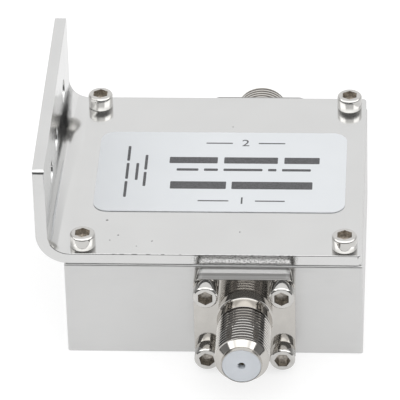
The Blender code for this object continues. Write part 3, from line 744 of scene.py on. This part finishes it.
def makeBracket():
    sheet = bracket["sheet"]
    under, left, half = bracket["under"], bracket["left"], bracket["halfDepth"]
    bendX = left + sheet + bracket["bendRadius"]
    bendZ = under + sheet + bracket["bendRadius"]
    shape = bmesh.new()
    corners = ((left, -half), (left + sheet, -half), (left + sheet, half), (left, half))
    face = shape.faces.new([shape.verts.new((x, y, under + bracket["rise"])) for x, y in corners])

    def pull(face, vec):
        made = bmesh.ops.extrude_face_region(shape, geom=[face])["geom"]
        moved = [item for item in made if isinstance(item, bmesh.types.BMVert)]
        bmesh.ops.translate(shape, verts=moved, vec=vec)
        return [item for item in made if isinstance(item, bmesh.types.BMFace)][0]

    face = pull(face, (0, 0, bendZ - under - bracket["rise"]))
    turned = bmesh.ops.spin(
        shape, geom=[face, *face.edges, *face.verts], cent=(bendX, 0, bendZ), axis=(0, 1, 0),
        angle=-pi / 2, steps=16,
    )["geom_last"]
    face = [item for item in turned if isinstance(item, bmesh.types.BMFace)][0]
    pull(face, (bracket["right"] - bendX, 0, 0))
    bmesh.ops.remove_doubles(shape, verts=shape.verts[:], dist=weld)
    bmesh.ops.recalc_face_normals(shape, faces=shape.faces[:])

    def atCorner(edge):
        a, b = (vert.co for vert in edge.verts)
        side = abs(abs(a.y) - half) < tolerance and abs(a.y - b.y) < tolerance
        top = min(a.z, b.z) > under + bracket["rise"] - tolerance
        end = min(a.x, b.x) > bracket["right"] - tolerance
        return side and (top or end)

    roundEdges(shape, [edge for edge in shape.edges if atCorner(edge)], bracket["corner"], 6)
    thing = toObject("lidBracket", shape)
    x, y = bracket["screwX"], bracket["screwY"]
    middle = under + sheet / 2
    places = [(sx * x, sy * y, middle) for sx in (-1, 1) for sy in (-1, 1)]
    combine(thing, rods(bracket["screwHole"] / 2, sheet + 2 * past, places))
    places = [(left + sheet / 2, y, under + bracket["mountingRise"]) for y in bracket["mountingPlaces"]]
    lying = Matrix.Rotation(pi / 2, 4, "Y")
    combine(thing, rods(bracket["mountingHole"] / 2, sheet + 2 * past, places, 40, lying))
    shape = bmesh.new()
    shape.from_mesh(thing.data)
    sharp = [edge for edge in shape.edges if edge.is_manifold and edge.calc_face_angle() > sharpAngle]
    roundEdges(shape, sharp, bracket["edge"], 2)
    shape.to_mesh(thing.data)
    shape.free()
    finishPiece(thing, "rolled_aluminium", ["lid_bracket"])


makeBracket()
print("bracket made")


# Label and its print: plain bars, and a number for each port
label = {
    "left": -26.4,
    "right": 27.2,
    "front": -14.5,
    "rear": 16.0,
    "under": 25.15,
    "thickness": 0.15,
    "corner": 3.2,
    "edge": 0.04,
}
printed = {
    "rise": 0.012,
    "gap": 0.001,  # under it
    "corner": 0.22,
    "cornerShare": 0.4,  # the most that a corner takes of a thin bar
    # left, right, front and rear of each bar
    "bars": (
        (-11.0, -0.6, 3.8, 6.2),
        (0.8, 12.4, 3.8, 6.2),
        (13.8, 21.4, 3.8, 6.2),
        (-9.3, -4.6, 0.9, 1.8),
        (-3.4, -0.4, 0.9, 1.8),
        (0.8, 9.2, 0.9, 1.8),
        (10.4, 12.2, 0.9, 1.8),
        (13.4, 19.6, 0.9, 1.8),
        (-10.4, 1.6, -6.0, -3.2),
        (2.8, 20.1, -6.0, -3.2),
        (-20.2, -19.6, 4.6, 10.3),
        (-20.2, -19.6, -2.4, 3.7),
        (-20.2, -19.6, -9.3, -3.3),
        (-18.1, -17.5, -2.8, 3.7),
        (-16.3, -15.7, 1.2, 6.9),
        (-16.3, -15.7, -5.1, 0.3),
        (-3.4, 2.4, 11.5, 11.9),
        (8.0, 13.8, 11.5, 11.9),
        (-4.2, 2.4, -10.7, -10.3),
        (8.0, 14.4, -10.7, -10.3),
    ),
    "numbers": (("2", 5.2, 11.7), ("1", 5.2, -10.5)),
    "numberSize": 3.6,
}


def roundedSheet(left, right, front, rear, corner, steps):
    shape = bmesh.new()
    bmesh.ops.create_grid(shape, x_segments=1, y_segments=1, size=0.5)
    bmesh.ops.scale(shape, verts=shape.verts[:], vec=(right - left, rear - front, 1))
    bmesh.ops.translate(shape, verts=shape.verts[:], vec=((left + right) / 2, (front + rear) / 2, 0))
    bmesh.ops.bevel(
        shape, geom=shape.verts[:], offset=corner, segments=steps, profile=0.5, affect="VERTICES",
        material=-1,
    )
    return shape


def thicken(shape, under, thickness):
    made = bmesh.ops.extrude_face_region(shape, geom=shape.faces[:])["geom"]
    moved = [item for item in made if isinstance(item, bmesh.types.BMVert)]
    bmesh.ops.translate(shape, verts=moved, vec=(0, 0, thickness))
    bmesh.ops.translate(shape, verts=shape.verts[:], vec=(0, 0, under))
    bmesh.ops.recalc_face_normals(shape, faces=shape.faces[:])


def makeLabel():
    shape = roundedSheet(*(label[name] for name in ("left", "right", "front", "rear", "corner")), 10)
    thicken(shape, label["under"], label["thickness"])
    top = label["under"] + label["thickness"] - tolerance
    rim = [edge for edge in shape.edges if min(vert.co.z for vert in edge.verts) > top]
    roundEdges(shape, rim, label["edge"], 2)
    finishPiece(toObject("labelPlate", shape), "silver_label", ["label"])


def makePrint():
    shape = bmesh.new()
    for left, right, front, rear in printed["bars"]:
        corner = min(printed["corner"], printed["cornerShare"] * min(rear - front, right - left))
        bar = roundedSheet(left, right, front, rear, corner, 3)
        mesh = bpy.data.meshes.new("bar")
        bar.to_mesh(mesh)
        bar.free()
        shape.from_mesh(mesh)
        bpy.data.meshes.remove(mesh)
    for number, x, y in printed["numbers"]:
        text = bpy.data.curves.new("number", "FONT")
        text.body = number
        text.size = printed["numberSize"]
        text.align_x, text.align_y = "CENTER", "CENTER"
        thing = bpy.data.objects.new("number", text)
        bpy.context.scene.collection.objects.link(thing)
        bpy.context.view_layer.update()
        mesh = bpy.data.meshes.new_from_object(thing.evaluated_get(bpy.context.evaluated_depsgraph_get()))
        mesh.transform(Matrix.Translation((x, y, 0)))
        shape.from_mesh(mesh)
        bpy.data.objects.remove(thing, do_unlink=True)
    bmesh.ops.remove_doubles(shape, verts=shape.verts[:], dist=weld)
    thicken(shape, label["under"] + label["thickness"] + printed["gap"], printed["rise"])
    thing = toObject("labelPrint", shape)
    thing.data.materials.append(ink)
    finishPiece(thing, "black_moulding", [])


makeLabel()
makePrint()
print("label made")


# Socket head cap screws
lidScrew = {
    "shank": 3.0,
    "length": 10.0,
    "head": 5.35,
    "height": 3.0,
    "hexagon": 3.05,
    "depth": 1.65,
    "seat": 0.05,  # between its head and the lid
}
portScrew = {
    "shank": 3.45,
    "length": 8.0,
    "head": 5.35,
    "height": 3.15,
    "hexagon": 3.0,
    "depth": 1.9,
}
flatScrew = {
    "shank": 2.5,
    "length": 8.0,
    "head": 4.7,
    "rim": 0.2,
    "hexagon": 1.5,
    "depth": 1.0,
}
screwSteps = 56
socketHead = {
    "chamfer": 0.065,  # of the head's diameter
    "drop": 0.9,  # of the chamfer
    "upperRound": 0.05,
    "lowerRound": 0.16,
    "seatRound": 0.08,
    "tip": 0.15,  # chamfer at the shank's end, of its diameter
    "drill": 0.8,  # of the socket's half width
    "pit": 0.3,  # depth of the drill's mark in the socket's floor
}


def shankOutline(screw):
    shank, length = screw["shank"] / 2, screw["length"]
    tip = socketHead["tip"] * screw["shank"]
    return [(shank, tip - length), (shank - tip, -length), (0, -length)]


def cutSocket(thing, screw, top):
    # a hexagon with the drill's cone in its floor, both in the socket's own finish
    thing.data.materials.append(finishes["stainless_screw"])
    thing.data.materials.append(socketDark)
    corners = screw["hexagon"] / cos(pi / 6) / 2
    bottom = top - screw["depth"]
    drill = socketHead["drill"] * screw["hexagon"] / 2
    hexagon = rods(corners, screw["depth"] + past, [(0, 0, (top + bottom + past) / 2)], 6)
    high = bottom + past / 2
    outline = [(0, high), (drill, high), (drill, bottom), (0, bottom - socketHead["pit"])]
    pit = lathe(outline, 32)
    for shape in (hexagon, pit):
        for face in shape.faces:
            face.material_index = 1
        combine(thing, shape, materials=(finishes["stainless_screw"], socketDark))


def makeCapScrew(name, screw):
    radius, height = screw["head"] / 2, screw["height"]
    chamfer = socketHead["chamfer"] * screw["head"]
    shoulder = height - chamfer * socketHead["drop"]
    outline = [
        (0, height), (radius - chamfer, height), (radius, shoulder), (radius, 0), (screw["shank"] / 2, 0),
    ]
    shape = lathe(outline + shankOutline(screw), screwSteps)
    roundEdges(shape, ringAt(shape, radius - chamfer, height), socketHead["upperRound"], 2)
    roundEdges(shape, ringAt(shape, radius, shoulder), socketHead["lowerRound"], 4)
    roundEdges(shape, ringAt(shape, radius, 0), socketHead["seatRound"], 2)
    thing = toObject(name, shape)
    cutSocket(thing, screw, height)
    return thing


def makeFlatScrew(name, screw):
    head, shank = screw["head"] / 2, screw["shank"] / 2
    outline = [(0, 0), (head, 0), (head, -screw["rim"]), (shank, shank - head - screw["rim"])]
    shape = lathe(outline + shankOutline(screw), screwSteps)
    roundEdges(shape, ringAt(shape, head, 0), socketHead["upperRound"], 2)
    thing = toObject(name, shape)
    cutSocket(thing, screw, 0)
    return thing


def placeLidScrews():
    source = makeCapScrew("lidScrew", lidScrew)
    x, y = bracket["screwX"], bracket["screwY"]
    z = bracket["under"] + bracket["sheet"] + lidScrew["seat"]
    for end, near in ((-1, "front"), (1, "rear")):
        for side, hand in ((-1, "left"), (1, "right")):
            name = f"lidScrew{near.capitalize()}{hand.capitalize()}"
            piece = copyPiece(source, name, Matrix.Translation((side * x, end * y, z)))
            finishPiece(piece, "stainless_screw", [f"lid_screw_{near}_{hand}"])
    bpy.data.objects.remove(source, do_unlink=True)


placeLidScrews()
print("lid screws made")


# Ports, drawn with the axis along Z and the plate's back at 0. Both barrels are as wide as the neck.
port = {
    "axisX": 6.6,
    "axisZ": 11.6525,
    "wall": 30.5,  # the box's end faces
    "seat": 0.05,
    "steps": 96,
    "boreSteps": 72,
    "plateSide": 21.295,
    "plateThickness": 4.45,
    "plateCorner": 1.9,
    "plateEdge": 0.15,
    "boltOffset": 7.9375,
    "boltSlack": 0.15,
    "neck": 11.5,
    "neckLength": 2.9,
    "neckFillet": 0.45,
    "filletTrim": 0.01,  # the fillet stops this short of the foot's rim
    "neckEdge": 0.12,
    "neckLift": 0.004,  # keeps the neck's foot off the plate's own face where the two are joined
    "thread": 11.35,
    "threadDepth": 0.48,
    "threadPitch": 0.92,
    "threadFlat": 0.25,  # at crest and root, of the pitch
    "threadSpare": 0.3,  # made past each end and trimmed
    "runIn": 0.3,  # where the thread comes up out of the neck
    "bite": 0.2,  # how far pieces that are joined reach into each other
    "skim": 0.04,  # how far the core stays inside the crest, and the thread short of its end
    "coreDepth": 0.5,  # from the crest down to the turned core that carries the thread
    "barrelWall": 1.6225,
    "discThickness": 1.5,
    "shoulder": 1.5,
    "ledge": 0.4,
    "wallThickness": 5.0,
    "discRound": 0.1,
    "hole": 1.6,
    "mouth": 0.1,
    "mouthRound": 0.08,
    "channel": 2.5,
}
# the front barrel ends in a plain nose
frontBarrel = {
    "threadLength": 11.1,
    "chamfer": (0.3, 0.25),  # at the thread's end, across and along
    "coreEnd": 0.35,  # before the chamfer, where the core widens to meet it
    "cone": 1.05,  # length from the thread's end down to the nose
    "noseStep": 1.3725,
    "noseLength": 2.0,
    "noseTaper": (0.1, 0.8),  # across and along
    "noseWall": 0.2,
    # how far each screw's socket is turned, in degrees
    "socketTurns": {"upperleft": 0, "upperright": 0, "lowerleft": 14, "lowerright": 30},
}
# the rear barrel is threaded to its end
rearBarrel = {
    "shift": 0.7,
    "threadLength": 8.9,
    "chamfer": 0.3,
    "coreEnds": (0.5, 2.0),  # where the core narrows and where it stops, from the thread's start
    "socketTurns": {"upperleft": 8, "upperright": 21, "lowerleft": 40, "lowerright": 3},
}
crest = port["thread"] / 2
coreRadius = crest - port["coreDepth"]
threadStart = port["plateThickness"] + port["neckLength"]
threadEnd = threadStart + frontBarrel["threadLength"]
noseEnd = threadEnd + frontBarrel["noseLength"]
rearEnd = threadStart + rearBarrel["threadLength"]
nose = crest - frontBarrel["noseStep"]
discRadius = nose - frontBarrel["noseWall"] - port["seat"]
bodyRadius = coreRadius - port["barrelWall"] - port["seat"]
tailRadius = bodyRadius - port["ledge"]


def threadShape(threadTop):
    # one turn of a right-handed helix on a profile of many pitches, cut square at both ends
    root = crest - port["threadDepth"]
    pitch, flat = port["threadPitch"], port["threadPitch"] * port["threadFlat"]
    low, high = threadStart - 2 * pitch, threadTop + 2 * pitch
    shape = bmesh.new()
    dots = []
    height = low
    while height < high:
        for radius, step in ((root, 0), (root, flat), (crest, pitch / 2), (crest, pitch / 2 + flat)):
            dots.append(shape.verts.new((radius, 0, height + step)))
        height += pitch
    lines = [shape.edges.new(pair) for pair in zip(dots, dots[1:])]
    steps = port["steps"]
    bmesh.ops.spin(
        shape, geom=dots + lines, cent=(0, 0, 0), axis=(0, 0, 1), dvec=(0, 0, pitch / steps),
        angle=2 * pi, steps=steps,
    )
    bmesh.ops.remove_doubles(shape, verts=shape.verts[:], dist=4 * weld)
    spare = port["threadSpare"]
    for place, side in ((threadStart - spare, -1), (threadTop + spare, 1)):
        everything = shape.verts[:] + shape.edges[:] + shape.faces[:]
        bmesh.ops.bisect_plane(
            shape, geom=everything, dist=0.0001, plane_co=(0, 0, place), plane_no=(0, 0, side),
            clear_outer=True,
        )
    rims = [edge for edge in shape.edges if edge.is_boundary]
    bmesh.ops.holes_fill(shape, edges=rims, sides=0)
    bmesh.ops.recalc_face_normals(shape, faces=shape.faces[:])
    return shape


def makePlate(name):
    side, thick = port["plateSide"], port["plateThickness"]
    shape = block((side, side, thick), (0, 0, thick / 2))
    upright = [edge for edge in shape.edges if abs(edge.verts[0].co.z - edge.verts[1].co.z) > 1]
    roundEdges(shape, upright, port["plateCorner"], 8)
    sharp = [edge for edge in shape.edges if edge.calc_face_angle() > sharpAngle]
    roundEdges(shape, sharp, port["plateEdge"], 3)
    return toObject(name, shape)


def addBarrel(shell, top):
    # neck, core and what stands past the thread, turned; top is the outline above the core's foot
    thick = port["plateThickness"]
    neck, fillet = port["neck"] / 2, port["neckFillet"]
    foot = thick + port["neckLift"]
    outline = top + [
        (coreRadius, threadStart), (neck, threadStart), (neck, foot), (neck + fillet, foot),
        (neck + fillet, thick / 2), (0, thick / 2),
    ]
    shape = lathe(outline, port["steps"])
    roundEdges(shape, ringAt(shape, neck, foot), fillet - port["filletTrim"], 6)
    roundEdges(shape, ringAt(shape, neck, threadStart), port["neckEdge"], 2)
    combine(shell, shape, "UNION")


def addThread(shell, threadTop, ending):
    # the thread comes up out of the neck at its inner end and has the outline given at its outer one
    thread = toObject("thread", threadShape(threadTop))
    bite = port["bite"]
    outline = ending + [
        (crest, threadStart + port["runIn"]), (coreRadius - bite, threadStart - bite),
        (0, threadStart - bite),
    ]
    combine(thread, lathe(outline, port["steps"]), "INTERSECT")
    shape = bmesh.new()
    shape.from_mesh(thread.data)
    bpy.data.objects.remove(thread, do_unlink=True)
    combine(shell, shape, "UNION")


def cutBore(shell, end):
    seat = port["seat"]
    ledge = end - port["discThickness"] - 2 * seat
    outline = [
        (0, end + past), (discRadius + seat, end + past), (discRadius + seat, ledge),
        (bodyRadius + seat, ledge), (bodyRadius + seat, port["shoulder"]),
        (tailRadius + seat, port["shoulder"]), (tailRadius + seat, -past), (0, -past),
    ]
    combine(shell, lathe(outline, port["boreSteps"]))


def boltPlaces(height):
    offset = port["boltOffset"]
    return [(sx * offset, sy * offset, height) for sx in (-1, 1) for sy in (-1, 1)]


def makeFrontShell():
    shell = makePlate("frontPortShell")
    across, along = frontBarrel["noseTaper"]
    inwards, back = frontBarrel["chamfer"]
    skim = port["skim"]
    top = [
        (0, noseEnd), (nose - across, noseEnd), (nose, noseEnd - along),
        (nose, threadEnd + frontBarrel["cone"]), (crest - inwards, threadEnd),
        (crest - skim, threadEnd - back), (coreRadius, threadEnd - back - frontBarrel["coreEnd"]),
    ]
    addBarrel(shell, top)
    addThread(shell, threadEnd, [(0, threadEnd - skim), (crest, threadEnd - skim)])
    cutBore(shell, noseEnd)
    thick = port["plateThickness"]
    hole = portScrew["shank"] / 2 + port["boltSlack"]
    combine(shell, rods(hole, thick + 2 * past, boltPlaces(thick / 2)))
    return shell


def makeRearShell():
    shell = makePlate("rearPortShell")
    low, high = (threadStart + reach for reach in rearBarrel["coreEnds"])
    addBarrel(shell, [(0, high), (coreRadius - port["bite"], high), (coreRadius, low)])
    chamfer = rearBarrel["chamfer"]
    addThread(shell, rearEnd, [(0, rearEnd), (crest - chamfer, rearEnd), (crest, rearEnd - chamfer)])
    cutBore(shell, rearEnd)
    thick = port["plateThickness"]
    head, hole = flatScrew["head"] / 2 + port["seat"], flatScrew["shank"] / 2 + port["boltSlack"]
    outline = [
        (0, past), (head, past), (head, -flatScrew["rim"]), (hole, hole - head - flatScrew["rim"]),
        (hole, -thick - past), (0, -thick - past),
    ]
    for place in boltPlaces(thick):
        sink = lathe(outline, screwSteps)
        bmesh.ops.translate(sink, verts=sink.verts[:], vec=place)
        combine(shell, sink)
    return shell


def makeInsulator(name, end):
    front = end - port["seat"]
    discUnder = front - port["discThickness"]
    hole, mouth = port["hole"] / 2, port["mouth"]
    channel, shoulder = port["channel"] / 2, port["shoulder"] + port["seat"]
    outline = [
        (hole + mouth, front), (discRadius, front), (discRadius, discUnder), (bodyRadius, discUnder),
        (bodyRadius, shoulder), (tailRadius, shoulder), (tailRadius, -port["wallThickness"]),
        (channel, -port["wallThickness"]), (channel, discUnder), (hole, discUnder), (hole, front - mouth),
    ]
    shape = lathe(outline, port["boreSteps"], closed=True)
    roundEdges(shape, ringAt(shape, discRadius, front), port["discRound"], 2)
    roundEdges(shape, ringAt(shape, hole + mouth, front), port["mouthRound"], 2)
    return toObject(name, shape)


def portMatrix(end, outwards=0.0, across=0.0, up=0.0):
    out = end * (port["wall"] + port["seat"] + outwards)
    x = port["axisX"] + (rearBarrel["shift"] if end > 0 else 0.0) + across
    place = Matrix.Translation((x, out, port["axisZ"] + up))
    return place @ Matrix.Rotation(-end * pi / 2, 4, "X")


def placePort(near, end, shell, insulator, screw, seatHeight, turns):
    shell.data.transform(portMatrix(end))
    finishPiece(shell, "nickel_plate", [near + "_port_shell"], 35.0)
    insulator.data.transform(portMatrix(end))
    finishPiece(insulator, "white_insulator", [near + "_port_insulator"])
    offset = port["boltOffset"]
    for up, level in ((-1, "lower"), (1, "upper")):
        for across, hand in ((-1, "left"), (1, "right")):
            turn = Matrix.Rotation(radians(turns[level + hand]), 4, "Z")
            move = portMatrix(end, seatHeight, across * offset, up * offset) @ turn
            piece = copyPiece(screw, f"{near}PortScrew{level.capitalize()}{hand.capitalize()}", move)
            finishPiece(piece, "stainless_screw", [f"{near}_port_screw_{level}_{hand}"])
    bpy.data.objects.remove(screw, do_unlink=True)


def placeRearContact():
    # the solid's own contact, shortened to end under this insulator's disc
    source = nodes["rear_port_contact"]
    low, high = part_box("rear_port_contact")
    end = (port["wall"] + rearEnd - port["discThickness"] - port["seat"]) * mm
    share = (end - low.y) / (high.y - low.y)
    foot = Matrix.Translation((0, low.y, 0))
    shorten = foot @ Matrix.Scale(share, 4, (0, 1, 0)) @ foot.inverted()
    move = Matrix.Scale(1 / mm, 4) @ shorten @ source.matrix_world
    finishPiece(copyPiece(source, "rearPortContact", move), "gilt_contact", ["rear_port_contact"])


def placePorts():
    thick = port["plateThickness"]
    shell, insulator = makeFrontShell(), makeInsulator("frontPortInsulator", noseEnd)
    screw = makeCapScrew("portScrew", portScrew)
    placePort("front", -1, shell, insulator, screw, thick + port["seat"], frontBarrel["socketTurns"])
    shell, insulator = makeRearShell(), makeInsulator("rearPortInsulator", rearEnd)
    screw = makeFlatScrew("flatScrew", flatScrew)
    placePort("rear", 1, shell, insulator, screw, thick, rearBarrel["socketTurns"])
    placeRearContact()


placePorts()
print("ports made")

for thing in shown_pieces():
    if thing.name not in nodes:
        print(thing.name, len(thing.data.polygons), "faces")
